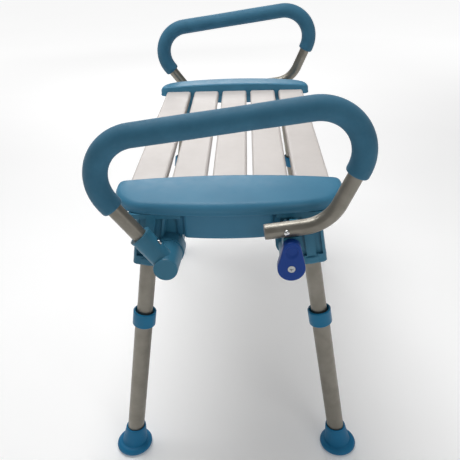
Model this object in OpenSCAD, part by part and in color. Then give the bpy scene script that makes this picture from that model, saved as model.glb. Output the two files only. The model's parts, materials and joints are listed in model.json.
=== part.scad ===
// Bath transfer bench: a slatted seat between two moulded end caps, on four splayed
// telescopic legs, with a padded flip-up arm at each end.
// +X is the front of the seat, Y runs along it, +Z is up, and the floor is z = 0.
// "Right" is the sitter's right hand, the -Y end.

/* [Seat] */
// Height of the slat tops above the floor
seat_height = 484; // [420:1:560]
// Width of one slat
slat_width = 56; // [46:1:70]
// Gap between two slats
slat_gap = 9; // [6:0.5:14]
// Thickness of a slat
slat_thick = 16; // [13:0.5:20]
// Length of slat that shows between the caps
slat_span = 520; // [380:1:700]
// Length of slat held inside each cap
slat_grip = 18; // [12:1:24]
// Wall of a hollow slat
slat_wall = 2.4; // [1.8:0.1:3.2]
// Radius along the edges of a slat
slat_edge = 5; // [3:0.5:6]
// Outside diameter of a seat rail
rail_od = 20; // [16:0.5:24]

/* [End caps] */
// Depth of a cap, from the slats to its outer edge
cap_depth = 89.5; // [84:0.5:110]
// Distance that a cap reaches past the outer slats
cap_margin = 15; // [10:0.5:24]
// Height of a cap's crest above the slats
cap_rise = 16.5; // [12:0.5:24]
// Fall of the crest from the middle of a cap to its sides
cap_crown = 7; // [3:0.5:10]
// Fall of the top from the crest to the outer edge
cap_fall = 10.5; // [6:0.5:14]
// Bow of the outer edge
cap_bow = 10; // [4:0.5:14]
// Plan radius of the outer corners
cap_corner = 58; // [40:1:64]
// Depth of the lip below the slat tops
cap_lip = 10; // [6:0.5:14]
// Wall of the moulding
cap_wall = 3.5; // [2.5:0.1:5]
// Depth of the fascia below the slat tops
fascia_depth = 52; // [40:1:60]
// Half width of the fascia
fascia_half = 66; // [50:1:66]

/* [Legs] */
// Distance of the leg sockets from the middle, across the seat
leg_x = 125; // [120:0.5:138]
// Distance of a leg's socket mouth from the cap's outer edge
leg_inset = 26.5; // [24:0.5:34]
// Depth of the socket mouths below the slat tops
socket_drop = 95; // [90:1:110]
// Splay of the legs to the front and rear
splay_side = 8.9; // [4:0.1:11]
// Splay of the legs to the two ends
splay_end = 2.4; // [0:0.1:5]
// Outside diameter of the upper leg tube
upper_od = 25.4; // [22:0.1:28]
// Wall of every tube
tube_wall = 1.5; // [1.2:0.1:2]
// Clearance around a tube that slides in another
slide_fit = 0.1; // [0.05:0.01:0.1]
// Distance from the socket mouth to the collar's top
collar_drop = 95; // [90:1:110]
// Height of a collar
collar_height = 27; // [20:1:34]
// Distance from the socket mouth to the leg's snap button
button_drop = 176; // [170:1:190]
// Pitch of the height holes
hole_pitch = 25; // [20:0.5:28]
// Holes that raise the seat from where it stands
holes_up = 2; // [1:1:2]
// Holes that lower the seat from where it stands
holes_down = 3; // [1:1:3]

/* [Feet] */
// Diameter of a foot's flange
foot_od = 63; // [54:1:76]
// Height of the flange
foot_flange = 13; // [9:0.5:16]
// Height of the whole foot
foot_height = 48; // [38:1:60]

/* [Arms] */
// Distance from the cap's outer edge to the middle of the arm tube
arm_offset = 30; // [28:0.5:40]
// Outside diameter of the arm tube
arm_od = 22.2; // [20:0.1:25.4]
// Outside diameter of the foam grip
grip_od = 33; // [29:0.5:38]
// Bend radius of the arm, on its centre line
arm_bend = 60; // [45:1:64]
// Distance of the hinge and the lever from the middle, across the seat
spindle_x = 88.5; // [88:0.5:90]
// Depth of the hinge and lever axes below the slat tops
spindle_drop = 68; // [64:0.5:72]
// Lean of the rear leg of the arm, from upright
arm_rear_lean = 36.6; // [30:0.1:42]
// Length from the hinge to the arm's rear corner
arm_rear_len = 224; // [210:1:260]
// Rise of the top bar and of the free end towards the front
arm_slope = 7.5; // [0:0.1:10]
// Length of the top bar, corner to corner
arm_top_len = 444; // [430:1:470]
// Lean of the front leg of the arm, from upright
arm_front_lean = 24; // [18:0.1:30]
// Length of the front leg, corner to corner
arm_front_len = 194; // [180:1:196]
// Length of the free end, from the corner
arm_end_len = 87.5; // [80:0.5:110]
// Distance from the hinge to the grip's rear end
grip_start = 110; // [90:1:118]
// Length of the grip on the straight front leg
grip_tail = 8; // [2:1:18]

/* [Hinge fitting and lever] */
// Distance of the hub's front face past the arm tube's middle
hub_front = 18.5; // [16:0.5:24]
// Radius of the hub at its front
hub_front_r = 17.6; // [16:0.1:19]
// Radius of the hub at its back
hub_back_r = 20.5; // [19:0.1:22]
// Outside diameter of the branch socket
branch_od = 31.8; // [29:0.1:34]
// Length of the branch from the hub's axis to its mouth
branch_len = 57.5; // [52:0.5:64]
// Diameter of the hinge spindle
spindle_d = 10; // [8:0.5:12]
// Thickness of the lever
lever_thick = 15; // [10:0.5:18]
// Radius of the lever's round lower end
lever_r = 19.8; // [17:0.1:22]
// Radius of the lever's upper end
lever_tip_r = 13.2; // [10:0.1:15]
// Gap between parts that move past each other
run_gap = 0.3; // [0.3:0.05:0.5]

/* [Hidden] */
$fn = 64;
SLATS = 5;
slide_over = 1;
bend_lap = 1;
bend_swell = 0.2;
half_span = slat_span / 2;
pitch = slat_width + slat_gap;
half_width = 2 * pitch + slat_width / 2 + cap_margin;
slat_bottom = seat_height - slat_thick;
lip_z = seat_height - cap_lip;
cap_edge = half_span + cap_depth;
inner_wall_drop = 25;
wall_set = 0.3;
shelf_t = 3;
fascia_out = cap_edge - 9.5;
fascia_bow_r = 730;
return_drop = 36;
return_depth = 30;
bore_fit = 0.05;

// Bow of the outer edge as a circle, and where the corner circle takes over
corner_x = half_width - cap_corner;
bow_r = (corner_x * corner_x) / (2 * cap_bow);
bow_angle = asin(corner_x / (bow_r - cap_corner));
corner_c = [corner_x, cap_depth - bow_r + (bow_r - cap_corner) * cos(bow_angle)];
inner_corner = 14;
wall_half = half_width - inner_corner;

// Leg geometry: the socket mouth is the origin of each leg's own frame, -Z runs down the leg
leg_y = cap_edge - leg_inset;
mouth_z = seat_height - socket_drop;
leg_rot = [splay_end, -splay_side, 0];
leg_drop_rate = cos(splay_end) * cos(splay_side);
leg_len = mouth_z / leg_drop_rate;
foot_x = leg_x + leg_len * cos(splay_end) * sin(splay_side);
foot_y = leg_y + leg_len * sin(splay_end);
lower_id = upper_od + 2 * slide_fit;
lower_od = lower_id + 2 * tube_wall;
collar_od = lower_od + 8.4;
collar_cover = 19;
foot_floor = 12;
socket_depth = 72;
upper_overlap = 34;
button_d = 8;

// Bracket geometry, in the bench's frame
spindle_z = seat_height - spindle_drop;
block_r = 19;
block_back = cap_edge - 51.5;
block_front = cap_edge - 21.5;
plate_thick = 8;
plate_back = half_span + slat_grip + 2;
plate_front = leg_y + 16;
plate_out = leg_x + 21;
rail_x = pitch + 20;
rail_z = slat_bottom - rail_od / 2;
rail_grip = 26;
rail_clear = 0.2;
bracket_screw_d = 5;
screw_reach = 9;
screw_d = 6;
socket_wall_w = 44;
socket_wall_d = 40;
flange_r = 23;
flange_h = 12;
pin_z = 40;
pin_d = 5;
slat_screw_d = 4;
slat_screw_reach = 9;
SCREW_ROWS = [for (k = [-1, 1], y = [0.15, 0.38]) k * y * slat_span];

// Arm geometry: points are [x, z] in the plane of the arm
arm_y = cap_edge + arm_offset;
hinge = [-spindle_x, spindle_z];
arm_id = arm_od - 2 * tube_wall;
rear_dir = [-sin(arm_rear_lean), cos(arm_rear_lean)];
top_dir = [cos(arm_slope), sin(arm_slope)];
front_dir = [-sin(arm_front_lean), -cos(arm_front_lean)];
rear_corner = hinge + arm_rear_len * rear_dir;
front_corner = rear_corner + arm_top_len * top_dir;
low_corner = front_corner + arm_front_len * front_dir;
arm_end = low_corner - arm_end_len * top_dir;
tube_start = 24;
front_tangent = arm_bend * tan(turn_angle(top_dir, front_dir) / 2);
arm_path = [hinge + tube_start * rear_dir, rear_corner, front_corner, low_corner, arm_end];
grip_path = [
    hinge + grip_start * rear_dir,
    rear_corner,
    front_corner,
    front_corner + (front_tangent + grip_tail) * front_dir
];
lever_axis = [spindle_x, spindle_z];
side_dir = [-sin(arm_slope), cos(arm_slope)];
tube_over_lever = (arm_end - lever_axis) * side_dir - arm_od / 2;
lever_top = tube_over_lever - 0.5;
stud_along = (lever_axis - arm_end) * top_dir;
stud_at = arm_end + stud_along * top_dir;
stud_d = 6;
stud_head_r = 4.3;
cradle_r = 6;
cradle_y = arm_y - arm_od / 2 - 4.5;

// Hub geometry, measured as distance from the middle of the bench
ring_front = leg_y + flange_r + 0.5;
hub_back = ring_front + run_gap;
hub_face = arm_y + hub_front;
hub_cap_t = 2;
head_seat = hub_face - 13;
lever_face = hub_face + 2;
lever_back = lever_face - lever_thick;
branch_button = 33;
branch_bead = 0.8;

CORNERS = [
    ["front_right", 1, -1],
    ["front_left", 1, 1],
    ["rear_right", -1, -1],
    ["rear_left", -1, 1]
];
ENDS = [["right", 1], ["left", -1]];

// Angle between two unit directions
function turn_angle(a, b) = acos(a * b);

// Sign of the turn from direction a to direction b
function turn_sign(a, b) = sign(a[0] * b[1] - a[1] * b[0]);

function unit(v) = v / norm(v);

// Places drawn for the front right corner, at any corner
module at_corner(c) {
    mirror([c[1] < 0 ? 1 : 0, 0, 0]) mirror([0, c[2] > 0 ? 1 : 0, 0]) children();
}

// Places drawn for the right end, at either end
module at_end(e) {
    mirror([0, e[1] < 0 ? 1 : 0, 0]) children();
}

// The frame of the front right leg
module leg_frame() {
    mirror([0, 1, 0]) translate([leg_x, leg_y, mouth_z]) rotate(leg_rot) children();
}

// Turns a drawing of the XZ plane to stand at y = -distance, growing outwards
module from_distance(distance) {
    translate([0, -distance, 0]) rotate([90, 0, 0]) children();
}

// Rectangle with round corners, centred
module round_rect(w, h, r) {
    square([w - 2 * r, h], center = true);
    square([w, h - 2 * r], center = true);
    for (x = [-1, 1], y = [-1, 1])
        translate([x * (w / 2 - r), y * (h / 2 - r)]) circle(r);
}

// Round rod along a path of [x, z] corners, every corner bent to one radius. The bends are a hair
// thicker than the straights, which reach a little way into them, so that it is all one solid
module bent_rod(path, bend, d, over = 0) {
    last = len(path) - 1;
    dirs = [for (i = [0:last - 1]) unit(path[i + 1] - path[i])];
    cuts = [
        for (i = [0:last])
            i == 0 || i == last ? 0 : bend * tan(turn_angle(dirs[i - 1], dirs[i]) / 2)
    ];
    for (i = [0:last - 1]) {
        before = i == 0 ? over : bend_lap;
        after = i == last - 1 ? over : bend_lap;
        a = path[i] + (cuts[i] - before) * dirs[i];
        length = norm(path[i + 1] - path[i]) - cuts[i] - cuts[i + 1] + before + after;
        translate([a[0], a[1], 0])
            rotate([0, 0, atan2(dirs[i][1], dirs[i][0])])
                rotate([0, 90, 0]) cylinder(h = length, d = d);
    }
    for (i = [1:last - 1]) {
        s = turn_sign(dirs[i - 1], dirs[i]);
        start = path[i] - cuts[i] * dirs[i - 1];
        centre = start + s * bend * [-dirs[i - 1][1], dirs[i - 1][0]];
        from_angle = atan2(start[1] - centre[1], start[0] - centre[0]);
        sweep = turn_angle(dirs[i - 1], dirs[i]);
        translate([centre[0], centre[1], 0])
            rotate([0, 0, s > 0 ? from_angle : from_angle - sweep])
                rotate_extrude(angle = sweep) translate([bend, 0]) circle(d = d + bend_swell);
    }
}

// Tube along the same kind of path
module bent_tube(path, bend, od, id) {
    difference() {
        bent_rod(path, bend, od);
        bent_rod(path, bend, id, slide_over);
    }
}

// ---- Seat -------------------------------------------------------------------

module slat_outline() {
    round_rect(slat_width, slat_thick, slat_edge);
}

module seat_slat(i) {
    web_x = 15;
    web = 5;
    half_w = slat_width / 2 - slat_wall;
    inner_h = slat_thick - 2 * slat_wall;
    x = (i - (SLATS + 1) / 2) * pitch;
    color("gainsboro")
        difference() {
            translate([x, half_span + slat_grip, seat_height - slat_thick / 2])
                rotate([90, 0, 0])
                    linear_extrude(slat_span + 2 * slat_grip)
                        difference() {
                            slat_outline();
                            square([2 * web_x - web, inner_h], center = true);
                            for (s = [-1, 1])
                                translate([s * (web_x + web / 2 + half_w) / 2, 0])
                                    square([half_w - web_x - web / 2, inner_h], center = true);
                        }
            if (i == 2 || i == 4)
                slat_screw_places() translate([0, 0, slat_bottom - 1])
                    cylinder(h = slat_screw_reach + 1, d = slat_screw_d);
        }
}

// Places of the slats' screws on both rails
module slat_screw_places() {
    for (x = [-rail_x, rail_x], y = SCREW_ROWS)
        translate([x, y, 0]) children();
}

module slat_screws() {
    head_r = 4;
    head_h = 2.5;
    below = rail_z - rail_od / 2;
    color("silver")
        slat_screw_places() translate([0, 0, below - head_h]) {
            cylinder(h = head_h, r1 = head_r - 1, r2 = head_r);
            cylinder(h = head_h + slat_bottom + slat_screw_reach - below, d = slat_screw_d);
        }
}

module seat_rail(side) {
    length = 2 * (block_back + rail_grip);
    color("silver")
        difference() {
            translate([side * rail_x, length / 2, rail_z]) rotate([90, 0, 0])
                difference() {
                    cylinder(h = length, d = rail_od);
                    translate([0, 0, -slide_over])
                        cylinder(h = length + 2 * slide_over, d = rail_od - 2 * tube_wall);
                }
            slat_screw_places() translate([0, 0, rail_z - rail_od])
                cylinder(h = 2 * rail_od, d = slat_screw_d);
        }
}

// ---- End caps ---------------------------------------------------------------

// Height of the cap's crowned top; v is the distance outwards from the slats
function crown_z(x, v) =
    seat_height + cap_rise - cap_crown * pow(x / half_width, 2) - cap_fall * pow(v / cap_depth, 2);

// Arc of points about a centre, from one angle to another
function arc(centre, r, a0, a1, n) =
    [for (i = [0:n]) let (a = a0 + (a1 - a0) * i / n) centre + r * [cos(a), sin(a)]];

// Plan outline of a cap as [x, v], drawn in by an inset: round inner corners, large outer
// corners, and between them the bowed outer edge, all tangent to each other
function plan_points(inset) =
    let (
        half = concat(
            arc([half_width - inner_corner, inner_corner], inner_corner - inset, -90, 0, 6),
            arc(corner_c, cap_corner - inset, 0, 90 - bow_angle, 12),
            arc([0, cap_depth - bow_r], bow_r - inset, 90 - bow_angle * 0.75, 90, 3)
        )
    )
    concat(half, [for (i = [len(half) - 2:-1:0]) [-half[i][0], half[i][1]]]);

// Crowned body of a cap: the plan outline under a patch of a very large ring, whose two radii
// give the crown across the bench and the fall towards the outer edge
module cap_body(base_z, inset) {
    crown_r = half_width * half_width / (2 * cap_crown);
    fall_r = cap_depth * cap_depth / (2 * cap_fall);
    sweep = 2 * asin((half_width + 10) / crown_r);
    deep = 60;
    intersection() {
        translate([0, 0, base_z]) linear_extrude(2 * cap_rise + cap_lip + 2)
            polygon([for (p = plan_points(inset)) [p[0], -half_span - p[1]]]);
        translate([0, -half_span, seat_height + cap_rise - inset - crown_r])
            rotate([90, 0, 0]) rotate([0, 0, 90 - sweep / 2])
                rotate_extrude(angle = sweep, $fn = 720) intersection() {
                    translate([crown_r - fall_r, 0]) circle(fall_r, $fn = 720);
                    translate([crown_r - deep, -cap_depth - 5]) square([2 * deep, 2 * cap_depth + 10]);
                }
    }
}

// Plan area of the two brackets' plates, where the cap above them is solid
module bracket_pad_area() {
    for (s = [0, 1])
        mirror([s, 0, 0]) translate([spindle_x - block_r, -plate_front])
            square([plate_out - spindle_x + block_r, plate_front - plate_back]);
}

module end_cap() {
    shelf_out = plate_back - 0.5;
    fascia_z = seat_height - fascia_depth;
    fascia_top = crown_z(fascia_half, cap_depth) + 0.4;
    color("steelblue")
        difference() {
            union() {
                difference() {
                    cap_body(lip_z, 0);
                    // hollow underneath, solid over the leg brackets and around the slat ends
                    difference() {
                        cap_body(lip_z - 1, cap_wall);
                        translate([-2 * half_width, -shelf_out, lip_z - 2])
                            cube([4 * half_width, cap_depth, 2 * cap_depth]);
                        translate([0, 0, lip_z - 2]) linear_extrude(cap_depth) bracket_pad_area();
                    }
                }
                // inner wall that the slats pass through, and the bed they lie on
                translate([-wall_half, -half_span - wall_set - cap_wall, seat_height - inner_wall_drop])
                    cube([2 * wall_half, cap_wall, inner_wall_drop + 2]);
                translate([-wall_half + 1, -shelf_out, slat_bottom - shelf_t])
                    cube([2 * wall_half - 2, shelf_out - half_span - wall_set - 1, slat_thick]);
                // fascia with a gently bowed lower edge, and its two returns
                from_distance(fascia_out - cap_wall) linear_extrude(cap_wall)
                    intersection() {
                        translate([-fascia_half, fascia_z - 1])
                            square([2 * fascia_half, fascia_top - fascia_z + 1]);
                        translate([0, fascia_z + fascia_bow_r]) circle(fascia_bow_r, $fn = 720);
                    }
                for (s = [0, 1])
                    mirror([s, 0, 0])
                        translate([fascia_half - cap_wall, -fascia_out + 1, lip_z - return_drop])
                            cube([cap_wall, return_depth, return_drop + 4]);
            }
            // pockets for the slat ends
            for (i = [1:SLATS])
                translate([(i - (SLATS + 1) / 2) * pitch, -half_span + 1, seat_height - slat_thick / 2])
                    rotate([90, 0, 0]) linear_extrude(slat_grip + 1) slat_outline();
            // openings for the seat rails
            for (s = [-1, 1])
                translate([s * rail_x, -shelf_out - 1, rail_z]) rotate([-90, 0, 0])
                    cylinder(h = shelf_out - half_span + 4, d = rail_od + 2 * rail_clear);
            // pilot holes for the bracket screws
            bracket_screw_places()
                translate([0, 0, lip_z - 1]) cylinder(h = screw_reach + 1, d = bracket_screw_d);
        }
}

// Screw places of the two brackets at the right end
module bracket_screw_places() {
    for (s = [-1, 1], x = [spindle_x + 14, leg_x + 8])
        translate([s * x, -plate_back - 8, 0]) children();
}

module bracket_screws() {
    head_r = 4.8;
    head_h = 3;
    color("silver")
        for (e = ENDS)
            at_end(e) bracket_screw_places() translate([0, 0, lip_z - plate_thick - head_h]) {
                cylinder(h = head_h, r1 = head_r - 1.2, r2 = head_r);
                cylinder(h = head_h + plate_thick + screw_reach, d = bracket_screw_d);
            }
}

// ---- Leg brackets -----------------------------------------------------------

// Ribbed socket around the upper leg tube, in the leg's frame
module socket_outside() {
    rise = socket_drop - cap_lip + 6;
    rib = 14;
    recess = 5;
    recess_w = 10;
    difference() {
        linear_extrude(rise) round_rect(socket_wall_w, socket_wall_d, 8);
        for (s = [-1, 1], f = [-1, 1])
            translate([s * (rib + recess_w) / 2, f * (socket_wall_d / 2), flange_h + 2 + rise / 2])
                cube([recess_w, 2 * recess, rise], center = true);
        translate([socket_wall_w / 2, 0, flange_h + 2 + rise / 2])
            cube([2 * recess, rib, rise], center = true);
    }
    rotate_extrude() {
        square([flange_r - 4, flange_h]);
        translate([0, 4]) square([flange_r, flange_h - 6]);
        translate([flange_r - 4, 4]) circle(4);
        translate([flange_r - 2, flange_h - 2]) circle(2);
        square([flange_r - 2, flange_h]);
    }
}

// One bracket; the front one carries the lever and the arm's rest, the rear one the hinge
module leg_bracket(front) {
    color("steelblue")
        difference() {
            union() {
                intersection() {
                    leg_frame() socket_outside();
                    translate([0, -2 * leg_y, 0]) cube([2 * half_width, 3 * leg_y, lip_z]);
                }
                // block around the spindle, straight sided up to the cap
                from_distance(block_back) linear_extrude(block_front - block_back) {
                    translate([spindle_x, spindle_z]) circle(block_r);
                    translate([spindle_x - block_r, spindle_z])
                        square([2 * block_r, lip_z - spindle_z]);
                }
                // plate under the cap
                translate([spindle_x - block_r, -plate_front, lip_z - plate_thick])
                    cube([plate_out - spindle_x + block_r, plate_front - plate_back, plate_thick]);
                // web that joins the block and the socket
                translate([spindle_x, -block_front + 4, spindle_z - 8])
                    cube([leg_x - spindle_x, block_front - block_back - 8, lip_z - spindle_z]);
                if (front)
                    arm_rest();
                else
                    from_distance(block_front) translate([spindle_x, spindle_z, 0])
                        cylinder(h = ring_front - block_front, r1 = hub_back_r + 2.5, r2 = hub_back_r + 1.5);
            }
            leg_frame() translate([0, 0, -slide_over])
                cylinder(h = socket_depth + slide_over, d = upper_od + 2 * bore_fit);
            leg_frame() translate([-socket_wall_w, 0, pin_z]) rotate([0, 90, 0])
                cylinder(h = 2 * socket_wall_w, d = pin_d + 2 * bore_fit);
            leg_frame() translate([socket_wall_w / 2 - 6, 0, pin_z]) rotate([0, 90, 0])
                cylinder(h = socket_wall_w, d = pin_d + 5);
            from_distance(block_back - slide_over) translate([spindle_x, spindle_z, 0])
                cylinder(h = cap_edge, d = (front ? screw_d : spindle_d) + 2 * bore_fit);
            translate([rail_x, -block_back - rail_grip, rail_z]) rotate([-90, 0, 0])
                cylinder(h = rail_grip + slide_over, d = rail_od + 2 * bore_fit);
            translate([rail_x, -block_back, rail_z]) rotate([-90, 0, 0])
                cylinder(h = cap_edge, d = rail_od + 2 * rail_clear);
            bracket_screw_places() translate([0, 0, lip_z - plate_thick - 1])
                cylinder(h = plate_thick + 2, d = bracket_screw_d + 2 * bore_fit);
        }
}

// Rest under the arm's free end: a boss for the lever, a saddle, and a cradle for the stud
module arm_rest() {
    beam_w = 22;
    boss_front = lever_back - run_gap;
    from_distance(block_front - 1) translate([spindle_x, spindle_z, 0])
        cylinder(h = boss_front - block_front + 1, r = 15);
    from_distance(block_front - 1) linear_extrude(boss_front - block_front + 1)
        intersection() {
            translate([spindle_x - beam_w / 2, spindle_z]) square([beam_w, 2 * lever_top]);
            translate([spindle_x, spindle_z]) rotate([0, 0, arm_slope])
                translate([-beam_w, -2 * lever_top]) square([2 * beam_w, 3 * lever_top]);
        }
    from_distance(cradle_y - 14) linear_extrude(14)
        difference() {
            translate([spindle_x - beam_w / 2, spindle_z]) square([beam_w, stud_at[1] - spindle_z]);
            translate(stud_at) circle(cradle_r);
        }
}

module spindle_nuts() {
    nut_h = 7;
    color("silver")
        for (e = ENDS, s = [-1, 1])
            at_end(e) from_distance(block_back - nut_h) translate([s * spindle_x, spindle_z, 0])
                difference() {
                    cylinder(h = nut_h, r = 9.2, $fn = 6);
                    translate([0, 0, -slide_over])
                        cylinder(h = nut_h + 2, d = (s > 0 ? screw_d : spindle_d) + 2 * bore_fit);
                }
}

// ---- Legs -------------------------------------------------------------------

module upper_tube() {
    low = button_drop + upper_overlap;
    color("silver") leg_frame()
        difference() {
            translate([0, 0, -low]) cylinder(h = low + socket_depth, d = upper_od);
            translate([0, 0, -low - slide_over])
                cylinder(h = low + socket_depth + 2 * slide_over, d = upper_od - 2 * tube_wall);
            translate([0, 0, -button_drop]) rotate([90, 0, 0])
                cylinder(h = upper_od, d = button_d + 2 * bore_fit);
            translate([-upper_od, 0, pin_z]) rotate([0, 90, 0])
                cylinder(h = 2 * upper_od, d = pin_d + 2 * bore_fit);
        }
}

module leg_pins() {
    reach = socket_wall_w / 2 - 6;
    color("silver")
        for (c = CORNERS)
            at_corner(c) leg_frame() translate([0, 0, pin_z]) rotate([0, 90, 0]) {
                translate([0, 0, -reach]) cylinder(h = 2 * reach, d = pin_d);
                translate([0, 0, reach]) cylinder(h = 3, r1 = 4.5, r2 = 3.4);
            }
}

module leg_collar() {
    top = -collar_drop;
    lip = collar_height - collar_cover;
    chamfer = 1.6;
    color("steelblue") leg_frame() translate([0, 0, top - collar_height])
        difference() {
            union() {
                cylinder(h = chamfer, r1 = collar_od / 2 - chamfer, r2 = collar_od / 2);
                translate([0, 0, chamfer])
                    cylinder(h = collar_height - 2 * chamfer, d = collar_od);
                translate([0, 0, collar_height - chamfer])
                    cylinder(h = chamfer, r1 = collar_od / 2, r2 = collar_od / 2 - chamfer);
            }
            translate([0, 0, -slide_over])
                cylinder(h = collar_cover + slide_over, d = lower_od + 2 * bore_fit);
            cylinder(h = collar_height + slide_over, d = upper_od + 2 * run_gap);
            translate([0, 0, collar_height - lip + 2])
                cylinder(h = lip, r1 = upper_od / 2 + run_gap, r2 = upper_od / 2 + 4.4);
        }
}

module lower_tube() {
    top = collar_drop + collar_height - collar_cover;
    bottom = leg_len - foot_floor;
    row = [for (k = [-holes_up:holes_down]) button_drop + k * hole_pitch];
    color("silver") leg_frame()
        difference() {
            translate([0, 0, -bottom]) cylinder(h = bottom - top, d = lower_od);
            translate([0, 0, -bottom - slide_over])
                cylinder(h = bottom - top + 2 * slide_over, d = lower_id);
            for (z = row)
                translate([0, 0, -z]) rotate([90, 0, 0])
                    cylinder(h = lower_od, d = button_d + 2 * bore_fit);
        }
}

// Snap button with its folded spring clip, pressed towards +Y of the leg's frame
module snap_button(tube_r, out, width, drop) {
    leaf = 0.8;
    front = sqrt(pow(tube_r - 0.4, 2) - pow(width / 2, 2));
    gap = front - leaf + 2;
    translate([0, -front, 0]) rotate([90, 0, 0]) {
        cylinder(h = out - front - 1.6, d = button_d - 2 * bore_fit);
        translate([0, 0, out - front - 1.6])
            cylinder(h = 1.6, r1 = button_d / 2 - bore_fit, r2 = button_d / 2 - 1.8);
    }
    translate([width / 2, 0, 0]) rotate([0, -90, 0]) linear_extrude(width) {
        translate([-drop, -front]) square([drop + button_d, leaf]);
        translate([-drop, -front + gap]) square([drop + button_d, leaf]);
        translate([-drop, -front + (gap + leaf) / 2])
            difference() {
                circle((gap + leaf) / 2);
                circle((gap - leaf) / 2);
                translate([0, -gap]) square([2 * gap, 2 * gap]);
            }
    }
}

module leg_snap_button() {
    color("silver") leg_frame() translate([0, 0, -button_drop])
        snap_button(upper_od / 2 - tube_wall, lower_od / 2 + 3.5, 7, 20);
}

module foot() {
    rim = foot_flange / 2;
    boot_base_r = 21.8;
    boot_top_r = lower_od / 2 + 3;
    rings = [9, 15, 21];
    color("steelblue")
        difference() {
            union() {
                translate([foot_x, -foot_y, 0]) rotate_extrude() {
                    square([foot_od / 2 - rim, foot_flange]);
                    translate([foot_od / 2 - rim, rim]) circle(rim);
                }
                translate([foot_x, -foot_y, foot_flange - 1])
                    cylinder(h = 3, r1 = foot_od / 2 - rim, r2 = boot_base_r + 1);
                intersection() {
                    leg_frame() translate([0, 0, -leg_len])
                        cylinder(h = foot_height / leg_drop_rate, r1 = boot_base_r + 2.6, r2 = boot_top_r);
                    translate([foot_x - foot_od, -foot_y - foot_od, rim])
                        cube([2 * foot_od, 2 * foot_od, 2 * foot_height]);
                }
            }
            leg_frame() translate([0, 0, -leg_len + foot_floor])
                cylinder(h = 2 * foot_height, d = lower_od + 2 * bore_fit);
            // tread rings
            for (r = rings)
                translate([foot_x, -foot_y, -1]) difference() {
                    cylinder(h = 2.2, r = r + 1);
                    translate([0, 0, -1]) cylinder(h = 4, r = r - 1);
                }
        }
}

// ---- Arms -------------------------------------------------------------------

// The plane of the arm at the right end: drawn x is X, drawn y is Z
module arm_plane() {
    translate([0, -arm_y, 0]) rotate([90, 0, 0]) children();
}

// Frame whose X runs from the hinge along the branch, with Y towards the bench's front
module branch_frame() {
    arm_plane() translate([hinge[0], hinge[1], 0])
        rotate([0, 0, 90 + arm_rear_lean]) mirror([0, 1, 0]) children();
}

module arm_tube() {
    color("silver")
        difference() {
            arm_plane() bent_tube(arm_path, arm_bend, arm_od, arm_id);
            branch_frame() translate([branch_button, 0, 0]) rotate([-90, 0, 0])
                cylinder(h = arm_od, d = button_d + 2 * bore_fit);
            from_distance(arm_y - arm_od) translate([stud_at[0], stud_at[1], 0])
                cylinder(h = 2 * arm_od, d = stud_d + 2 * bore_fit);
        }
}

module arm_grip() {
    color("darkslateblue") arm_plane()
        bent_tube(grip_path, arm_bend, grip_od, arm_od + 2 * run_gap);
}

module tube_plug() {
    flange = 1.6;
    color("dimgray") arm_plane() translate([arm_end[0], arm_end[1], 0])
        rotate([0, 0, arm_slope]) rotate([0, 90, 0]) {
            translate([0, 0, -flange]) cylinder(h = flange, r1 = arm_od / 2 - 0.8, r2 = arm_od / 2);
            cylinder(h = 10, d = arm_id - 2 * bore_fit);
        }
}

module hinge_fitting() {
    bore_start = tube_start - 1;
    slot_len = 12;
    slot_w = 9.4;
    color("steelblue")
        difference() {
            union() {
                from_distance(hub_back) translate([hinge[0], hinge[1], 0])
                    cylinder(h = hub_face - hub_cap_t - hub_back, r1 = hub_back_r, r2 = hub_front_r);
                from_distance(hub_back) translate([hinge[0], hinge[1], 0])
                    cylinder(h = 3, r = hub_back_r + 1.2);
                branch_frame() rotate([0, 90, 0]) cylinder(h = branch_len, d = branch_od);
                branch_frame() translate([branch_len - 3.5, 0, 0]) rotate([0, 90, 0])
                    cylinder(h = 3.5, d = branch_od + 2 * branch_bead);
            }
            branch_frame() translate([bore_start, 0, 0]) rotate([0, 90, 0])
                cylinder(h = branch_len, d = arm_od + 2 * bore_fit);
            // hole and long recess for the snap button
            branch_frame() translate([branch_button, 0, 0]) rotate([-90, 0, 0])
                cylinder(h = branch_od, d = button_d + 2 * bore_fit);
            branch_frame() for (x = [-1, 1])
                translate([branch_button + x * (slot_len - slot_w) / 2, branch_od / 2 - 1.8, 0])
                    rotate([-90, 0, 0]) cylinder(h = branch_od, d = slot_w);
            // running bore and the seat of the spindle's head
            from_distance(hub_back - 1) translate([hinge[0], hinge[1], 0])
                cylinder(h = hub_face, d = spindle_d + 2 * bore_fit);
            from_distance(head_seat) translate([hinge[0], hinge[1], 0])
                cylinder(h = hub_face, r = spindle_d + 1.5);
        }
}

module hub_cap() {
    color("steelblue") {
        from_distance(hub_face - hub_cap_t) translate([hinge[0], hinge[1], 0])
            cylinder(h = hub_cap_t, r1 = hub_front_r, r2 = hub_front_r - 0.6);
        from_distance(hub_face - hub_cap_t - 3) translate([hinge[0], hinge[1], 0])
            difference() {
                cylinder(h = 3, r = spindle_d + 1.5 - bore_fit);
                translate([0, 0, -1]) cylinder(h = 5, r = spindle_d);
            }
    }
}

module hinge_spindle() {
    head_h = 5;
    start = block_back - 8;
    color("silver") from_distance(start) translate([hinge[0], hinge[1], 0]) {
        cylinder(h = head_seat + run_gap - start + 1, d = spindle_d);
        translate([0, 0, head_seat + run_gap - start]) cylinder(h = head_h, r = spindle_d - 0.5);
    }
}

module arm_button() {
    color("silver") branch_frame() translate([branch_button, 0, 0]) rotate([0, -90, 0])
        rotate([0, 0, 180]) snap_button(arm_id / 2, branch_od / 2 + 1.2, 6, 5);
}

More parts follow.
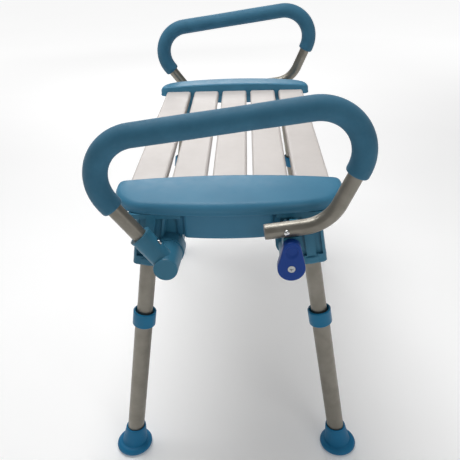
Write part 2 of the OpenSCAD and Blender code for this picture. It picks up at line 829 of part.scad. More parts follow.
module lock_stud() {
    tail = 13;
    front = arm_y + arm_od / 2;
    back = arm_y - arm_od / 2 - tail;
    dome_h = 3.2;
    dome_r = (stud_head_r * stud_head_r + dome_h * dome_h) / (2 * dome_h);
    color("silver") {
        from_distance(back) translate([stud_at[0], stud_at[1], 0])
            cylinder(h = front - back + 1, d = stud_d);
        from_distance(front) translate([stud_at[0], stud_at[1], 0])
            intersection() {
                cylinder(h = dome_h, r = stud_head_r);
                translate([0, 0, dome_h - dome_r]) sphere(dome_r);
            }
    }
}

// Outline of the lever, upright over its axis
module lever_outline() {
    rise = lever_top - lever_tip_r;
    hull() {
        circle(lever_r);
        translate([0, rise]) circle(lever_tip_r);
    }
}

module lock_lever() {
    recess_r = 9.2;
    recess_deep = 2;
    bevel = 1.2;
    rise = lever_top - lever_tip_r;
    lean = asin((lever_r - lever_tip_r) / rise);
    tangent = sqrt(rise * rise - pow(lever_r - lever_tip_r, 2));
    color("mediumblue") from_distance(lever_back) translate([lever_axis[0], lever_axis[1], 0])
        difference() {
            union() {
                cylinder(h = lever_thick, r = lever_r);
                translate([0, rise, 0]) cylinder(h = lever_thick, r = lever_tip_r);
                linear_extrude(lever_thick)
                    polygon([
                        lever_r * [-cos(lean), sin(lean)],
                        lever_tip_r * [-cos(lean), sin(lean)] + [0, rise],
                        lever_tip_r * [cos(lean), sin(lean)] + [0, rise],
                        lever_r * [cos(lean), sin(lean)]
                    ]);
            }
            translate([0, 0, -1]) cylinder(h = lever_thick + 2, d = screw_d + 2 * bore_fit);
            translate([0, 0, lever_thick - 3.2])
                cylinder(h = 4, r1 = screw_d / 2, r2 = screw_d / 2 + 3.2);
            // thumb recess, and the hollow back
            translate([0, rise - 1, lever_thick - recess_deep])
                cylinder(h = recess_deep + 1, r1 = recess_r - 1, r2 = recess_r);
            translate([0, rise - 1, -1]) cylinder(h = lever_thick - recess_deep - 3, r = lever_tip_r - 3.5);
        }
}

module lever_screw() {
    start = block_back - 8;
    head_h = 2.8;
    front = lever_face - 0.2;
    color("silver") from_distance(start) translate([lever_axis[0], lever_axis[1], 0])
        difference() {
            union() {
                cylinder(h = front - start - head_h + 0.5, d = screw_d);
                translate([0, 0, front - start - head_h])
                    cylinder(h = head_h, r1 = screw_d / 2 - 0.3, r2 = screw_d / 2 + 2.3);
            }
            for (a = [0, 90])
                translate([0, 0, front - start - 0.6]) rotate([0, 0, a])
                    cube([5.4, 1.1, 2.8], center = true);
        }
}

// ---- Nodes ------------------------------------------------------------------

for (e = ENDS) {
    at_end(e) end_cap();
    at_end(e) arm_tube();
    at_end(e) arm_grip();
    at_end(e) tube_plug();
    at_end(e) hinge_fitting();
    at_end(e) hub_cap();
    at_end(e) hinge_spindle();
    at_end(e) arm_button();
    at_end(e) lock_stud();
    at_end(e) lock_lever();
    at_end(e) lever_screw();
}
for (i = [1:SLATS])
    seat_slat(i);
seat_rail(1);  // seat_rail_front
seat_rail(-1);  // seat_rail_rear
for (c = CORNERS) {
    at_corner(c) leg_bracket(c[1] > 0);
    at_corner(c) upper_tube();
    at_corner(c) leg_collar();
    at_corner(c) lower_tube();
    at_corner(c) foot();
    at_corner(c) leg_snap_button();
}
spindle_nuts();
bracket_screws();
slat_screws();
leg_pins();
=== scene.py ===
# %% [markdown]
# # A bath transfer bench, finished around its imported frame
# The bench is a slatted seat between two moulded end caps, on four splayed telescopic legs, with a
# foam-padded arm at each end. The frame already holds every part at its real size. This lesson keeps the
# parts whose shape is right, gives them their finishes, and builds the parts that need soft or rounded
# skins: the end caps, the foam grips, the turning levers and the feet.

# %% Load the frame
import json
import math

import bmesh
import bpy
import numpy as np
from mathutils import Matrix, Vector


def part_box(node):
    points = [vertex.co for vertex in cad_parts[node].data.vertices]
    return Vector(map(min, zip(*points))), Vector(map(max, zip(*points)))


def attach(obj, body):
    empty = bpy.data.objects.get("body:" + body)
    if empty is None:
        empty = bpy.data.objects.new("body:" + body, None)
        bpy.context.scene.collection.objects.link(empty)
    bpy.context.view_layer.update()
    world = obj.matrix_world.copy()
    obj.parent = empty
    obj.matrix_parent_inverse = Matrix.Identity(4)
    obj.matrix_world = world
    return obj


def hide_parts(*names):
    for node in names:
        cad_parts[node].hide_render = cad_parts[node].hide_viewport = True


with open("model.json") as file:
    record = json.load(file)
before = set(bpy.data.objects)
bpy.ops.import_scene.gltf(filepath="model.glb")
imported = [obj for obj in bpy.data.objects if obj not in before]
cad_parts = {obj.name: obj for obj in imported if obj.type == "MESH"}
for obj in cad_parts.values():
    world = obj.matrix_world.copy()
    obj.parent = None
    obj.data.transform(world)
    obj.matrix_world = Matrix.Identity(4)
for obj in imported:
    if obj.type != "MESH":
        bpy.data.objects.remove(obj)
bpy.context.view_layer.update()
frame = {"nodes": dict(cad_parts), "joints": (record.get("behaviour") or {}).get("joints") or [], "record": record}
nodes = frame["nodes"]
joints = {j["name"]: j for j in frame["joints"]}
MM = 0.001
ENDS = {"right": -1, "left": 1}
CORNERS = {"front_right": (1, -1), "front_left": (1, 1), "rear_right": (-1, -1), "rear_left": (-1, 1)}

# %% [markdown]
# ## Skins from rows of points
# Almost every piece here is one closed skin. It is a stack of rows, each row a closed loop of points, and
# neighbouring rows are joined by four-sided faces. The ends are closed with a fan to one point, or the
# last row is joined back to the first. Working with whole arrays keeps this short and quick.

# %% One helper that turns rows into a mesh
def skin(name, rows, ring=False):
    """Object from rows of loops, shape (rows, points, 3). Faces join row i to row i + 1. With ring the
    last row meets the first; otherwise each end is closed by a fan to the mean of its row."""
    rows = np.asarray(rows, float)
    count, around = rows.shape[:2]
    last = count if ring else count - 1
    a = (np.arange(last)[:, None] * around + np.arange(around)).ravel()
    b = (np.arange(last)[:, None] * around + (np.arange(around) + 1) % around).ravel()
    up = np.roll(np.arange(count), -1)[:last]
    c = (up[:, None] * around + (np.arange(around) + 1) % around).ravel()
    d = (up[:, None] * around + np.arange(around)).ravel()
    faces = np.stack([a, b, c, d], 1).tolist()
    points = rows.reshape(-1, 3)
    if not ring:
        points = np.vstack([points, rows[0].mean(0), rows[-1].mean(0)])
        turn = np.arange(around)
        after = (turn + 1) % around
        first, final = count * around, count * around + 1
        faces += np.stack([np.full(around, first), after, turn], 1).tolist()
        base = (count - 1) * around
        faces += np.stack([np.full(around, final), base + turn, base + after], 1).tolist()
    mesh = bpy.data.meshes.new(name)
    mesh.from_pydata(points.tolist(), [], faces)
    welded = bmesh.new()
    welded.from_mesh(mesh)
    bmesh.ops.remove_doubles(welded, verts=welded.verts, dist=1e-6)
    bmesh.ops.recalc_face_normals(welded, faces=welded.faces)
    welded.to_mesh(mesh)
    welded.free()
    mesh.shade_smooth()
    piece = bpy.data.objects.new(name, mesh)
    bpy.context.scene.collection.objects.link(piece)
    print(name, len(mesh.polygons), "faces")
    return piece


# %% Circles and arcs used by the skins
def circle(count):
    """Unit circle as (count, 2): cosine and sine of evenly spaced angles."""
    angle = np.linspace(0, 2 * np.pi, count, endpoint=False)
    return np.stack([np.cos(angle), np.sin(angle)], 1)


def arc(centre, radius, start, end, count):
    """Points of an arc in degrees, with each point's outward normal, as two (count, 2) arrays."""
    angle = np.radians(np.linspace(start, end, count))
    normal = np.stack([np.cos(angle), np.sin(angle)], 1)
    return np.asarray(centre) + radius * normal, normal


def finish_piece(piece, body, slot, *replaced):
    """Gives a piece the material of its slot and its body, and hides the frame nodes that it replaces."""
    piece.data.materials.append(materials[slot])
    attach(piece, body)
    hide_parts(*replaced)
    return piece


# %% [markdown]
# ## Finishes
# The bench has few finishes, but each has its own grain. Moulded plastic has a faint orange-peel skin.
# Anodised tube has fine lines along its length. Closed-cell foam is matte and finely pitted. All of
# them read Object coordinates, so that a pattern keeps its real scale on every part.

# %% Colour and node helpers
def srgb(red, green, blue):
    """Display colour, 0 to 255, as the linear colour that shaders work in."""
    value = np.array([red, green, blue]) / 255
    linear = np.where(value <= 0.04045, value / 12.92, ((value + 0.055) / 1.055) ** 2.4)
    return (*linear, 1)


SHINE = 0.3


class Finish:
    """A material on its way: a Principled shader, and helpers that add noise to its sockets."""

    def __init__(self, name, roughness, metallic=0.0):
        self.material = bpy.data.materials.new(name)
        self.material.use_nodes = True
        self.tree = self.material.node_tree
        self.shader = self.tree.nodes["Principled BSDF"]
        self.shader.inputs["Metallic"].default_value = metallic
        self.shader.inputs["Roughness"].default_value = roughness
        self.shader.inputs["Specular IOR Level"].default_value = SHINE
        self.coords = self.tree.nodes.new("ShaderNodeTexCoord").outputs["Object"]

    def link(self, source, target):
        self.tree.links.new(source, target)

    def noise(self, scale, detail=3.0, stretch=(1, 1, 1)):
        """Noise of a given number of cells a metre, stretched along the axes."""
        mapping = self.tree.nodes.new("ShaderNodeMapping")
        mapping.inputs["Scale"].default_value = stretch
        texture = self.tree.nodes.new("ShaderNodeTexNoise")
        texture.inputs["Scale"].default_value = scale
        texture.inputs["Detail"].default_value = detail
        self.link(self.coords, mapping.inputs["Vector"])
        self.link(mapping.outputs["Vector"], texture.inputs["Vector"])
        return texture.outputs["Fac"]

    def colours(self, factor, low, high, start=0.3, end=0.7):
        """Base colour that runs from low to high with a factor."""
        ramp = self.tree.nodes.new("ShaderNodeValToRGB")
        ramp.color_ramp.elements[0].position = start
        ramp.color_ramp.elements[0].color = low
        ramp.color_ramp.elements[1].position = end
        ramp.color_ramp.elements[1].color = high
        self.link(factor, ramp.inputs["Fac"])
        self.link(ramp.outputs["Color"], self.shader.inputs["Base Color"])

    def gloss(self, factor, low, high):
        """Roughness that runs from low to high with a factor."""
        spread = self.tree.nodes.new("ShaderNodeMapRange")
        spread.inputs["From Min"].default_value = 0.3
        spread.inputs["From Max"].default_value = 0.7
        spread.inputs["To Min"].default_value = low
        spread.inputs["To Max"].default_value = high
        self.link(factor, spread.inputs["Value"])
        self.link(spread.outputs["Result"], self.shader.inputs["Roughness"])

    def bump(self, *layers):
        """Bump from (factor, depth in metres, strength) layers, one feeding the next."""
        normal = None
        for factor, depth, strength in layers:
            bump = self.tree.nodes.new("ShaderNodeBump")
            bump.inputs["Distance"].default_value = depth
            bump.inputs["Strength"].default_value = strength
            self.link(factor, bump.inputs["Height"])
            if normal:
                self.link(normal, bump.inputs["Normal"])
            normal = bump.outputs["Normal"]
        self.link(normal, self.shader.inputs["Normal"])


# %% Moulded plastic and rubber
def moulded(name, low, high, roughness=0.42, grain=900, depth=0.00006, sheen=0.0):
    """Moulded skin: slow drift of colour, and a fine orange-peel bump."""
    finish = Finish(name, roughness)
    drift = finish.noise(14, 4)
    finish.colours(drift, low, high)
    finish.gloss(finish.noise(60, 4), roughness - 0.07, roughness + 0.09)
    finish.bump((finish.noise(grain, 2), depth, 0.5), (finish.noise(90, 2), depth * 2, 0.12))
    if sheen:
        finish.shader.inputs["Sheen Weight"].default_value = sheen
    return finish.material


# %% Anodised tube and bright metal
def anodised(name):
    """Satin aluminium: fine lines down the legs' length, a little dull handling on top."""
    finish = Finish(name, 0.38, metallic=0.85)
    lines = finish.noise(900, 2, stretch=(1, 1, 0.03))
    finish.colours(finish.noise(35, 4), srgb(130, 126, 117), srgb(144, 140, 131))
    finish.gloss(finish.noise(120, 5), 0.33, 0.47)
    finish.bump((lines, 0.00003, 0.35))
    return finish.material


def bright(name, low, high, roughness):
    """Plated or polished steel with faint turning marks and fingerprints."""
    finish = Finish(name, roughness, metallic=1.0)
    finish.colours(finish.noise(260, 3), low, high)
    finish.gloss(finish.noise(420, 4), roughness * 0.7, roughness * 1.5)
    finish.bump((finish.noise(1500, 1), 0.00001, 0.2))
    return finish.material


# %% Closed-cell foam
def foam(name):
    """Matte foam skin: tiny closed cells from a Voronoi pattern, over a slow unevenness."""
    finish = Finish(name, 0.66)
    cells = finish.tree.nodes.new("ShaderNodeTexVoronoi")
    cells.inputs["Scale"].default_value = 1100
    finish.link(finish.coords, cells.inputs["Vector"])
    finish.colours(finish.noise(30, 5), srgb(42, 96, 122), srgb(50, 105, 132))
    finish.gloss(finish.noise(200, 4), 0.58, 0.74)
    finish.bump((cells.outputs["Distance"], 0.00012, 0.35), (finish.noise(45, 3), 0.0006, 0.12))
    finish.shader.inputs["Sheen Weight"].default_value = 0.12
    finish.shader.inputs["Sheen Roughness"].default_value = 0.5
    return finish.material


# %% [markdown]
# The slats are extruded, so their skin has the fainter lines of the die along their length, and their
# white is a warm one. The caps and fittings share one moulded blue, and the collars and feet are a
# deeper, more saturated blue.

# %% Slat plastic, with the die's faint lines
def extruded(name):
    finish = Finish(name, 0.45)
    finish.colours(finish.noise(9, 4), srgb(192, 186, 182), srgb(200, 194, 190))
    finish.gloss(finish.noise(80, 4), 0.38, 0.52)
    die_lines = finish.noise(500, 2, stretch=(1, 0.02, 1))
    finish.bump((die_lines, 0.00005, 0.25), (finish.noise(1000, 2), 0.00004, 0.3))
    return finish.material


# %% Every slot's material
materials = {
    "cap_blue": moulded("cap_blue", srgb(58, 118, 148), srgb(64, 125, 155)),
    "slat_white": extruded("slat_white"),
    "fitting_blue": moulded("fitting_blue", srgb(50, 110, 136), srgb(57, 117, 143), 0.38),
    "collar_blue": moulded("collar_blue", srgb(12, 106, 146), srgb(18, 113, 153), 0.36),
    "foot_rubber": moulded("foot_rubber", srgb(12, 106, 150), srgb(18, 113, 157), 0.5, 700, 0.0001),
    "lever_blue": moulded("lever_blue", srgb(0, 56, 136), srgb(0, 61, 145), 0.4),
    "grip_foam": foam("grip_foam"),
    "plug_grey": moulded("plug_grey", srgb(120, 120, 122), srgb(132, 132, 134), 0.5),
    "tube_aluminium": anodised("tube_aluminium"),
    "bright_steel": bright("bright_steel", srgb(205, 205, 205), srgb(225, 225, 225), 0.16),
    "zinc_steel": bright("zinc_steel", srgb(178, 180, 182), srgb(196, 198, 200), 0.3),
}
for part in frame["record"]["subparts"]:
    mesh = nodes[part["node"]].data
    mesh.materials.clear()
    mesh.materials.append(materials[part["material_slot"]])
print("finishes:", len(materials))

# %% [markdown]
# ## End caps
# A cap is a moulded shell. Its plan has a straight edge towards the slats, large outer corners and a
# slightly bowed outer edge. Its top is crowned both ways, rolls over into an upright lip, and ends in a
# thin bead. Rings of the plan outline, each drawn further in and set to its height, make the whole
# shell, inside and out.

# %% Sizes of a cap, from the frame
low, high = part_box("end_cap_right")
slat_low, slat_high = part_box("seat_slat_1")
cap = {
    "half": high.x,
    "inner": -high.y,
    "depth": high.y - low.y,
    "crest": high.z,
    "slat_top": slat_high.z,
    "slat_bottom": slat_low.z,
    "bottom": low.z,
    "lip": slat_high.z - 10 * MM,
    "crown": 7 * MM,
    "fall": 10.5 * MM,
    "corner": 58 * MM,
    "inner_corner": 14 * MM,
    "bow": 10 * MM,
    "wall": 3.5 * MM,
    "inner_roll": 3 * MM,
    "outer_roll": 9 * MM,
}
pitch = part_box("seat_slat_2")[0].x - slat_low.x
print("cap:", {k: round(v, 4) for k, v in cap.items()})


# %% The plan outline, with its normals
def cap_plan():
    """Closed outline as (x, v), v measured outwards from the slats, with outward normals: two inner
    corners, two outer corners, the bow, and the straight inner edge, all tangent to each other."""
    reach = cap["half"] - cap["corner"]
    bow_r = reach**2 / (2 * cap["bow"])
    lean = math.degrees(math.asin(reach / (bow_r - cap["corner"])))
    bow_c = (0, cap["depth"] - bow_r)
    corner_c = (reach, bow_c[1] + (bow_r - cap["corner"]) * math.cos(math.radians(lean)))
    inner_c = (cap["half"] - cap["inner_corner"], cap["inner_corner"])
    inner, inner_n = arc(inner_c, cap["inner_corner"], -90, 0, 12)
    corner, corner_n = arc(corner_c, cap["corner"], 0, 90 - lean, 26)
    bow, bow_n = arc(bow_c, bow_r, 90 - lean, 90 + lean, 40)
    flip = np.array([-1, 1])
    edge_x = np.linspace(-inner_c[0], inner_c[0], 42)[1:-1]
    edge = np.stack([edge_x, np.zeros_like(edge_x)], 1)
    points = [inner, corner, bow[1:-1], corner[::-1] * flip, inner[::-1] * flip, edge]
    normals = [inner_n, corner_n, bow_n[1:-1], corner_n[::-1] * flip, inner_n[::-1] * flip,
               np.tile([0.0, -1.0], (len(edge), 1))]
    return np.vstack(points), np.vstack(normals)


def crown(x, v):
    """Height of a cap's top: a parabola across the bench and another towards the outer edge."""
    return cap["crest"] - cap["crown"] * (x / cap["half"]) ** 2 - cap["fall"] * (v / cap["depth"]) ** 2


# %% The shell's rings, from the middle of the top round the bead to the middle inside
BEAD_OUT = 0.8 * MM


def cap_shell(name, side):
    """Skin of rings. Each ring is the outline moved in along its normals, then drawn towards the
    middle by a share, and set to a height."""
    outline, normal = cap_plan()
    middle = np.array([0, cap["depth"] / 2])
    roll = np.where(normal[:, 1] < -0.5, cap["inner_roll"], cap["outer_roll"])[:, None]
    for _ in range(6):
        roll = (np.roll(roll, 1, 0) + roll + np.roll(roll, -1, 0)) / 3
    rings = []

    def add(inset, share, height):
        plan = middle + share * (outline - inset * normal - middle)
        z = height(plan[:, 0], plan[:, 1])
        rings.append(np.stack([plan[:, 0], side * (cap["inner"] + plan[:, 1]), z], 1))

    for share in np.linspace(0.06, 1, 16):
        add(roll, share, crown)
    for angle in np.radians(np.linspace(75, 0, 6)):
        drop = (roll * (1 - math.sin(angle)))[:, 0]
        add(roll * (1 - math.cos(angle)) + BEAD_OUT, 1, lambda x, v: crown(x, v) - drop)
    bead = np.array([(0.8, 3.2), (0.2, 2.6), (0, 1.8), (0, 0.9), (0.5, 0.2), (1.5, 0)]) * MM
    for inset, rise in bead:
        add(inset, 1, lambda x, v: np.full_like(x, cap["lip"] + rise))
    add(cap["wall"], 1, lambda x, v: np.full_like(x, cap["lip"] + 0.6 * MM))
    for share in np.linspace(1, 0.06, 8):
        add(roll + cap["wall"], share, lambda x, v: crown(x, v) - cap["wall"])
    return skin(name, rings)


# %% [markdown]
# Below the lip, a curtain hides the leg fittings from the end, and a thin wall closes the cap towards
# the slats. Both are upright sheets that follow a path in plan, so one function makes them: a rounded
# section whose lower edge may rise and fall along the path.

# %% An upright sheet along a path in plan
FASCIA_BOW = 730 * MM


def upright(name, path, normal, bottom, top, thick):
    """Skin whose rows are rounded upright sections. Path and normal are (n, 2), bottom and top are
    heights along the path, and the section is a slot shape: straight sides and half-round edges."""
    turn = np.linspace(0, np.pi, 7)
    half = thick / 2
    across = np.concatenate([half * np.cos(turn), -half * np.cos(turn)])
    along = np.concatenate([half * np.sin(turn), -half * np.sin(turn)])
    upper = np.concatenate([np.ones(7), np.zeros(7)])
    plan = path[:, None, :] + normal[:, None, :] * across[None, :, None]
    z = np.where(upper, top[:, None] - half, bottom[:, None] + half) + along
    return skin(name, np.dstack([plan, z]))


def curtain(name, side):
    """Fascia with a flange at each end: a path along a flange, forward through an inner bend, round
    the outer corner and along the fascia."""
    half, out, back, flange = 64.25 * MM, 338.25 * MM, 330.3 * MM, 76 * MM
    bend, fold = 4 * MM, 2 * MM
    fold_arc, fold_n = arc((half + fold, back + fold), fold, 270, 180, 5)
    corner, corner_n = arc((half - bend, out - bend), bend, 0, 90, 8)
    straight = np.linspace(-half + bend, half - bend, 40)[::-1, None][1:-1]
    front = np.hstack([straight, np.full_like(straight, out)])
    right = np.vstack([[flange, back], fold_arc, corner])
    right_n = np.vstack([[0, 1], -fold_n, corner_n])
    flip = np.array([-1, 1])
    path = np.vstack([right, front, right[::-1] * flip])
    normal = np.vstack([right_n, np.tile([0.0, 1.0], (len(front), 1)), right_n[::-1] * flip])
    bottom = cap["bottom"] + path[:, 0] ** 2 / (2 * FASCIA_BOW)
    top = np.full(len(path), cap["slat_top"] + 3.5 * MM)
    return upright(name, path * [1, side], normal * [1, side], bottom, top, cap["wall"])


def slat_wall(name, side):
    """Wall that the slats pass through, with a tapering finger below each gap: full length near the
    gap's middle, and none from finger_half outwards."""
    margin, set_in, thick = 14 * MM, 2.2 * MM, 3 * MM
    ledge, finger_drop, finger_half, taper = 2.5 * MM, 6.5 * MM, 8 * MM, 5 * MM
    x = np.linspace(-cap["half"] + margin, cap["half"] - margin, 240)
    off_gap = np.abs((x / pitch) % 1 - 0.5) * pitch
    finger = np.clip((finger_half - off_gap) / taper, 0, 1)
    bottom = cap["slat_bottom"] - ledge - finger_drop * finger
    top = np.full_like(x, cap["slat_top"] + 8 * MM)
    path = np.stack([x, np.full_like(x, side * (cap["inner"] + set_in))], 1)
    normal = np.tile([0.0, float(side)], (len(x), 1))
    return upright(name, path, normal, bottom, top, thick)


for end, side in ENDS.items():
    finish_piece(cap_shell(f"cap_shell_{end}", side), "root", "cap_blue", f"end_cap_{end}")
    for piece in (curtain(f"cap_curtain_{end}", side), slat_wall(f"cap_slat_wall_{end}", side)):
        finish_piece(piece, "root", "cap_blue")

# %% [markdown]
# ## Foam grips
# A grip is a foam sleeve pushed over the bent tube. It covers the top bar and both upper bends, and
# its ends are rounded. The sleeve follows a path of straight runs and arcs, which starts at the arm's
# hinge.

# %% The arm's centre line
ARM = {"rear_lean": 36.6, "rear": 224 * MM, "slope": 7.5, "top": 444 * MM, "front_lean": 24.0,
       "bend": 60 * MM, "start": 110 * MM, "tail": 8 * MM}
GRIP_R = 16.5 * MM
TUBE_R = 11.1 * MM


def grip_path(hinge):
    """Centre line as (n, 2) points of x and z with unit tangents: a straight run, a bend, the top bar,
    a second bend and a short tail. Each bend is an arc that both its neighbours touch."""
    lean, slope, front = (math.radians(ARM[k]) for k in ("rear_lean", "slope", "front_lean"))
    up = np.array([-math.sin(lean), math.cos(lean)])
    over = np.array([math.cos(slope), math.sin(slope)])
    down = np.array([-math.sin(front), -math.cos(front)])
    first = hinge + ARM["rear"] * up
    second = first + ARM["top"] * over
    points, tangents = [hinge + ARM["start"] * up], [up]
    for corner, a, b in ((first, up, over), (second, over, down)):
        turn = math.acos(a @ b)
        cut = ARM["bend"] * math.tan(turn / 2)
        centre = corner - cut * a + ARM["bend"] * np.array([a[1], -a[0]])
        angle = np.linspace(0, turn, 30)[:, None]
        along = a * np.cos(angle) + np.array([a[1], -a[0]]) * np.sin(angle)
        points.append(centre + ARM["bend"] * np.stack([-along[:, 1], along[:, 0]], 1))
        tangents.append(along)
    points.append(points[-1][-1] + ARM["tail"] * down)
    tangents.append(down)
    return np.vstack(points), np.vstack(tangents)


# %% A sleeve along it
def sleeve(name, side, hinge, plane):
    """Ring of rows: outwards at the first end, along the outside, inwards at the far end and back
    inside. The outer radius eases in at both ends, and wavers a little as foam does."""
    points, tangents = grip_path(hinge)
    step = np.concatenate([[0], np.cumsum(np.linalg.norm(np.diff(points, axis=0), axis=1))])
    run = step[-1]
    ease = 5 * MM
    near = ease * (1 - np.cos(np.linspace(0, np.pi / 2, 7)))
    s = np.concatenate([near, np.linspace(ease, run - ease, 150)[1:-1], run - near[::-1]])
    edge = np.clip(np.minimum(s, run - s) / ease, 0, 1)
    radius = GRIP_R - ease * 0.8 * (1 - np.sqrt(1 - (1 - edge) ** 2))
    waver = 0.12 * MM * (np.sin(s / (23 * MM) + side) + np.sin(s / (61 * MM)))
    s = np.concatenate([s, s[::-1]])
    radius = np.concatenate([radius + waver * edge, np.full(len(edge), TUBE_R + 0.05 * MM)])
    x, z = (np.interp(s, step, points[:, i]) for i in (0, 1))
    tx, tz = (np.interp(s, step, tangents[:, i]) for i in (0, 1))
    size = np.hypot(tx, tz)
    ring = circle(48)
    across = ring[None, :, 0] * radius[:, None]
    return skin(name, np.dstack([
        x[:, None] + across * (tz / size)[:, None],
        plane + ring[None, :, 1] * radius[:, None],
        z[:, None] - across * (tx / size)[:, None],
    ]), ring=True)


for end, side in ENDS.items():
    place = joints[f"arm_hinge_{end}"]["pos_m"]
    grip = sleeve(f"foam_grip_{end}", side, np.array([place[0], place[2]]), place[1])
    finish_piece(grip, f"arm_{end}", "grip_foam", f"arm_grip_{end}")

# %% [markdown]
# ## Turning levers
# The lever is a flat block whose outline is two circles and the lines that touch both. Its edge is
# rolled over, and its face has a shallow round thumb recess over a countersunk screw. Every point of
# the outline is drawn towards the line between the two centres, so the face closes along that line.

# %% A block with a rolled edge
LEVER = {"big": 19.8 * MM, "small": 13.2 * MM, "roll": 2.2 * MM, "thumb": 9.2 * MM, "dip": 1.9 * MM,
         "sink": 6.2 * MM}


def lever(name, node, side, axis):
    """Rows of the outline from the back's middle, round the edge and over the face to its middle. Each
    point of the outline closes on its own point of the spine, the line between the two centres."""
    low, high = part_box(node)
    rise = high.z - axis[2] - LEVER["small"]
    back, face = sorted((abs(low.y), abs(high.y)))
    tilt = math.degrees(math.asin((LEVER["big"] - LEVER["small"]) / rise))
    bottom, bottom_n = arc((0, 0), LEVER["big"], 180 - tilt, 360 + tilt, 60)
    top, top_n = arc((0, rise), LEVER["small"], tilt, 180 - tilt, 44)
    share = np.linspace(0, 1, 14)[1:-1, None]
    right, left = (a + share * (b - a) for a, b in ((bottom[-1], top[0]), (top[-1], bottom[0])))
    right_n, left_n = (np.tile(ends[-1], (len(share), 1)) for ends in (bottom_n, top_n))
    outline = np.vstack([bottom, right, top, left])
    normal = np.vstack([bottom_n, right_n, top_n, left_n])
    climb = share[:, 0] * rise
    spine_z = np.concatenate([np.zeros(len(bottom)), climb, np.full(len(top), rise), rise - climb])
    spine = np.stack([np.zeros(len(outline)), spine_z], 1)

    def relief(plan):
        """Depth below the face: a dished thumb recess and a cone for the screw's head."""
        thumb = np.hypot(plan[:, 0], plan[:, 1] - rise + 1 * MM) / LEVER["thumb"]
        dish = LEVER["dip"] * np.clip((1 - thumb) * 5, 0, 1) ** 0.7
        cone = np.clip(LEVER["sink"] - np.hypot(plan[:, 0], plan[:, 1]), 0, 3 * MM)
        return dish + cone

    flat = np.ones(len(outline))
    rows = [(spine, back * flat)]
    for angle in np.radians(np.linspace(90, 0, 7)):
        plan = outline - LEVER["roll"] * (1 - math.cos(angle)) * normal
        rows.append((plan, (back + LEVER["roll"] / 2 * (1 - math.sin(angle))) * flat))
    for angle in np.radians(np.linspace(0, 90, 8)):
        plan = outline - LEVER["roll"] * (1 - math.cos(angle)) * normal
        rows.append((plan, (face - LEVER["roll"] * (1 - math.sin(angle))) * flat))
    rim = outline - LEVER["roll"] * normal
    for pull in np.linspace(0, 1, 46)[1:]:
        plan = rim + pull * (spine - rim)
        rows.append((plan, face - relief(plan)))
    loops = [np.stack([axis[0] + plan[:, 0], side * depth, axis[2] + plan[:, 1]], 1)
             for plan, depth in rows]
    return skin(name, loops)


for end, side in ENDS.items():
    axis = joints[f"lever_turn_{end}"]["pos_m"]
    piece = lever(f"turning_lever_{end}", f"lock_lever_{end}", side, axis)
    finish_piece(piece, f"lever_{end}", "lever_blue", f"lock_lever_{end}")

# %% [markdown]
# ## Rubber feet
# A foot has a wide rounded flange that stands flat, and above it a boot that leans with the leg. Each
# row is a circle: its radius follows the foot's profile, and its centre slides sideways with the lean
# once it is above the flange. The tread has shallow rings.

# %% Profile of a foot: radius and height in millimetres, from the tread's middle to the bore's floor
FOOT_PROFILE = np.array([
    (1, 0.8), (8, 0.8), (8.6, 0), (10.4, 0), (11, 0.8), (14, 0.8), (14.6, 0), (16.4, 0), (17, 0.8),
    (20, 0.8), (20.6, 0), (25, 0), (27.6, 0.5), (29.6, 1.8), (31, 4), (31.5, 6.5), (31, 9), (29.6, 11.2),
    (27.6, 12.6), (25, 13.2), (23, 13.3), (22.2, 13.9), (22, 15.2), (21.6, 18), (20.4, 26), (19, 35),
    (18, 42), (17.5, 45.4), (17, 46.8), (16.2, 47.4), (15.2, 47.2), (14.6, 46.2), (14.4, 44), (14.36, 20),
    (14.3, 12.2), (1, 12.2),
]) * MM


def foot(name, corner, lean):
    """Circles stacked up the profile; above the flange their centres follow the leg."""
    low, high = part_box(f"foot_{corner}")
    radius, height = FOOT_PROFILE.T
    reach = FOOT_PROFILE[:, 0].max()
    sx, sy = CORNERS[corner]
    centre_x = (high.x if sx > 0 else low.x) - sx * reach
    centre_y = (high.y if sy > 0 else low.y) - sy * reach
    ring = circle(64)
    slide = height[:, None] / -lean[2]
    return skin(name, np.dstack([
        centre_x - lean[0] * slide + radius[:, None] * ring[None, :, 0],
        centre_y - lean[1] * slide + radius[:, None] * ring[None, :, 1],
        height[:, None] + np.zeros((1, 64)),
    ]))


for corner in CORNERS:
    lean = joints[f"leg_height_{corner}"]["axis"]
    boot = foot(f"rubber_foot_{corner}", corner, lean)
    finish_piece(boot, f"leg_lower_{corner}", "foot_rubber", f"foot_{corner}")

# %% [markdown]
# ## Stage, light and camera
# The bench stands on a pale floor under large soft lights: one overhead, one behind the bench and a
# weaker one beside the camera. The camera stands at the near end, above the arm, and looks down the seat.

# %% Floor and background
def stage():
    """Flat pale floor, far larger than the bench. It glows a little more with its distance from the
    bench, where the lights no longer reach it."""
    rows = np.array([(-1, -1), (1, -1), (1, 1), (-1, 1)]) * 30.0
    mesh = bpy.data.meshes.new("studio_floor")
    mesh.from_pydata([(x, y, 0) for x, y in rows], [], [(0, 1, 2, 3)])
    floor = bpy.data.objects.new("studio_floor", mesh)
    bpy.context.scene.collection.objects.link(floor)
    finish = Finish("studio_floor", 0.9)
    finish.colours(finish.noise(2, 2), srgb(244, 244, 244), srgb(247, 247, 247))
    away = finish.tree.nodes.new("ShaderNodeVectorMath")
    away.operation = "LENGTH"
    finish.link(finish.coords, away.inputs[0])
    glow = finish.tree.nodes.new("ShaderNodeMapRange")
    glow.interpolation_type = "SMOOTHSTEP"
    for socket, value in (("From Min", 1.0), ("From Max", 3.5), ("To Min", 0.12), ("To Max", 0.7)):
        glow.inputs[socket].default_value = value
    finish.link(away.outputs["Value"], glow.inputs["Value"])
    finish.link(glow.outputs["Result"], finish.shader.inputs["Emission Strength"])
    finish.shader.inputs["Emission Color"].default_value = (1, 1, 1, 1)
    mesh.materials.append(finish.material)


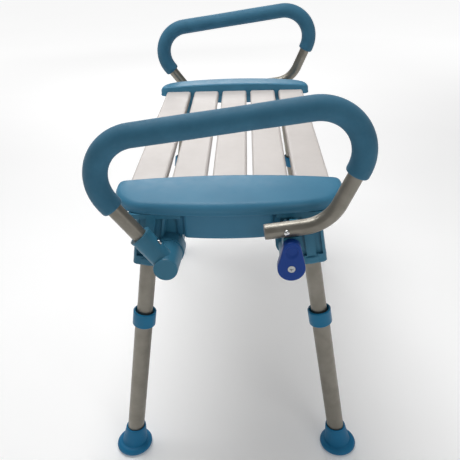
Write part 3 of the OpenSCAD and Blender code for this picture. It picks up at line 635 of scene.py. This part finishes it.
stage()
world = bpy.data.worlds.new("studio")
world.use_nodes = True
world.node_tree.nodes["Background"].inputs["Color"].default_value = (1, 1, 1, 1)
world.node_tree.nodes["Background"].inputs["Strength"].default_value = 0.25
bpy.context.scene.world = world


# %% Soft lights
def soft_light(name, place, target, size, power):
    """Square area light at a place, turned to face a target."""
    data = bpy.data.lights.new(name, "AREA")
    data.size = size
    data.energy = power
    light = bpy.data.objects.new(name, data)
    light.location = place
    direction = np.asarray(target, float) - place
    pitch_angle = math.acos(-direction[2] / np.linalg.norm(direction))
    light.rotation_euler = (pitch_angle, 0, math.atan2(direction[1], direction[0]) - math.pi / 2)
    bpy.context.scene.collection.objects.link(light)


soft_light("overhead", (-0.3, 0.2, 2.1), (0, 0.1, 0.4), 1.1, 27)
soft_light("beside_camera", (1.3, -2.2, 1.6), (0, -0.2, 0.3), 1.0, 8)
soft_light("behind", (-0.3, 2.1, 1.5), (0, 0.3, 0.45), 1.2, 15)

# %% Camera
CAMERA = {"place": (0.030558, -1.089334, 0.862849), "yaw": -2.175, "down": 29.008, "roll": -1.85,
          "lens": 45.9}


def camera():
    """Camera that looks along +Y, turned by a yaw, a tilt down and a roll about its own axis."""
    yaw, down, roll = (math.radians(CAMERA[k]) for k in ("yaw", "down", "roll"))
    forward = np.array([math.sin(yaw) * math.cos(down), math.cos(yaw) * math.cos(down), -math.sin(down)])
    right = np.array([math.cos(yaw), -math.sin(yaw), 0.0])
    up = np.cross(right, forward)
    level, upright_axis = right, up
    right = level * math.cos(roll) + upright_axis * math.sin(roll)
    up = upright_axis * math.cos(roll) - level * math.sin(roll)
    turn = np.eye(4)
    turn[:3, :3] = np.stack([right, up, -forward], 1)
    turn[:3, 3] = CAMERA["place"]
    data = bpy.data.cameras.new("bench_camera")
    data.lens = CAMERA["lens"]
    data.sensor_width = 36
    data.clip_end = 100
    view = bpy.data.objects.new("bench_camera", data)
    view.matrix_world = Matrix(turn.tolist())
    bpy.context.scene.collection.objects.link(view)
    bpy.context.scene.camera = view


camera()
bpy.context.scene.view_settings.view_transform = "Standard"
